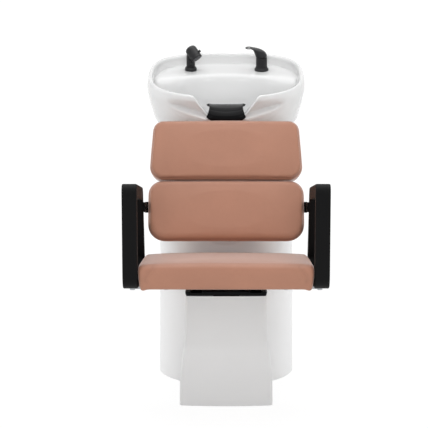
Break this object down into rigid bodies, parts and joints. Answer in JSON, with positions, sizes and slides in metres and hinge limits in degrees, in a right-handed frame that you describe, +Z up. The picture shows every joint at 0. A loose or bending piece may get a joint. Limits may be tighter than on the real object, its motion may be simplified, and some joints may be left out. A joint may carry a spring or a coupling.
{
  "type": "salon backwash unit",
  "caption": "Salon backwash unit: leather chair with closed loop armrests on a pedestal, joined to a column with a tilting ceramic basin, lever mixer and hand shower.",
  "frame": {"origin": "on the floor, in the middle of the four floor anchor holes, on the axis of the round column front", "axes": "+Z up, -Y the way the sitter faces, +X to the right as seen from the front"},
  "size_m": [0.607, 1.1138, 1.0593],
  "materials": {
    "shell_white": "smooth satin gel coat",
    "ceramic": "glossy glaze",
    "leather_tan": "fine grain, satin",
    "arm_black": "satin",
    "steel_black": "satin powder coat",
    "steel_zinc": "zinc plated",
    "gel_black": "glossy gel",
    "tap_black": "satin",
    "plywood": "raw",
    "plastic_grey": "smooth",
    "chrome": "polished",
    "rubber_black": "matte",
    "brass": "machined"
  },
  "bodies": {
    "base": {"base_plate": "steel_black", "column_frame": "steel_black", "column_shell": "shell_white", "rear_panel": "shell_white", "rear_panel_screws": "steel_zinc", "pedestal_post": "steel_black", "pedestal_shell": "shell_white", "seat_tray": "steel_black", "seat_rail_left": "steel_black", "seat_rail_right": "steel_black", "seat_crossbar_front": "steel_zinc", "seat_crossbar_rear": "steel_zinc", "seat_board": "plywood", "seat_board_bolts": "steel_zinc", "seat_cushion": "leather_tan", "armrest_left": "arm_black", "armrest_right": "arm_black", "armrest_bolts": "steel_zinc", "armrest_bracket_left": "steel_black", "armrest_bracket_right": "steel_black", "armrest_bracket_bolts": "steel_black", "back_upright_left": "steel_black", "back_upright_right": "steel_black", "back_frame_bolts": "steel_zinc", "lower_back_board": "plywood", "lower_back_cushion": "leather_tan", "upper_back_board": "plywood", "upper_board_screws": "steel_zinc", "upper_back_cushion": "leather_tan", "tilt_bracket": "steel_black", "tilt_bolts": "steel_zinc", "tilt_nuts": "steel_zinc"},
    "basin": {"basin": "ceramic", "neck_rest": "gel_black", "cradle_pad": "rubber_black", "tilt_cradle": "steel_black", "cradle_bolts": "steel_zinc", "tilt_bushes": "plastic_grey", "waste_strainer": "chrome", "waste_gasket": "rubber_black", "waste_locknut": "plastic_grey", "mixer_body": "tap_black", "mixer_washer": "rubber_black", "mixer_backnut": "brass", "mixer_cartridge": "plastic_grey", "shower_holder": "tap_black", "shower_washer": "rubber_black", "shower_backnut": "brass"},
    "mixer_stem": {"mixer_stem": "brass", "mixer_pin": "steel_zinc"},
    "mixer_lever": {"mixer_lever": "tap_black"},
    "shower_sleeve": {"shower_sleeve": "plastic_grey"},
    "hand_shower": {"shower_body": "tap_black", "shower_face": "plastic_grey", "shower_hose_nut": "chrome"},
    "shower_button": {"shower_button": "tap_black"}
  },
  "joints": [
    {"name": "basin_tilt", "type": "hinge", "parent": "base", "child": "basin", "pos_m": [0, 0.185, 0.728], "axis": [1, 0, 0], "range_deg": [-14, 0]},
    {"name": "mixer_swivel", "type": "hinge", "parent": "basin", "child": "mixer_stem", "pos_m": [0.122, 0.31407, 1.01599], "axis": [0, -0.2079, 0.9781], "range_deg": [-45, 45]},
    {"name": "mixer_lift", "type": "hinge", "parent": "mixer_stem", "child": "mixer_lever", "pos_m": [0.133, 0.31282, 1.02185], "axis": [0, 0.9781, 0.2079], "range_deg": [0, 20]},
    {"name": "shower_turn", "type": "hinge", "parent": "basin", "child": "shower_sleeve", "pos_m": [-0.122, 0.32343, 0.97197], "axis": [0, -0.2079, 0.9781], "range_deg": [-75, 75]},
    {"name": "shower_lift", "type": "slide", "parent": "shower_sleeve", "child": "hand_shower", "axis": [0, -0.2079, 0.9781], "range_m": [0, 0.2]},
    {"name": "shower_press", "type": "slide", "parent": "hand_shower", "child": "shower_button", "axis": [-0.7312, 0.238, -0.6393], "range_m": [0, 0.0025], "stiffness_N_per_m": 900}
  ]
}
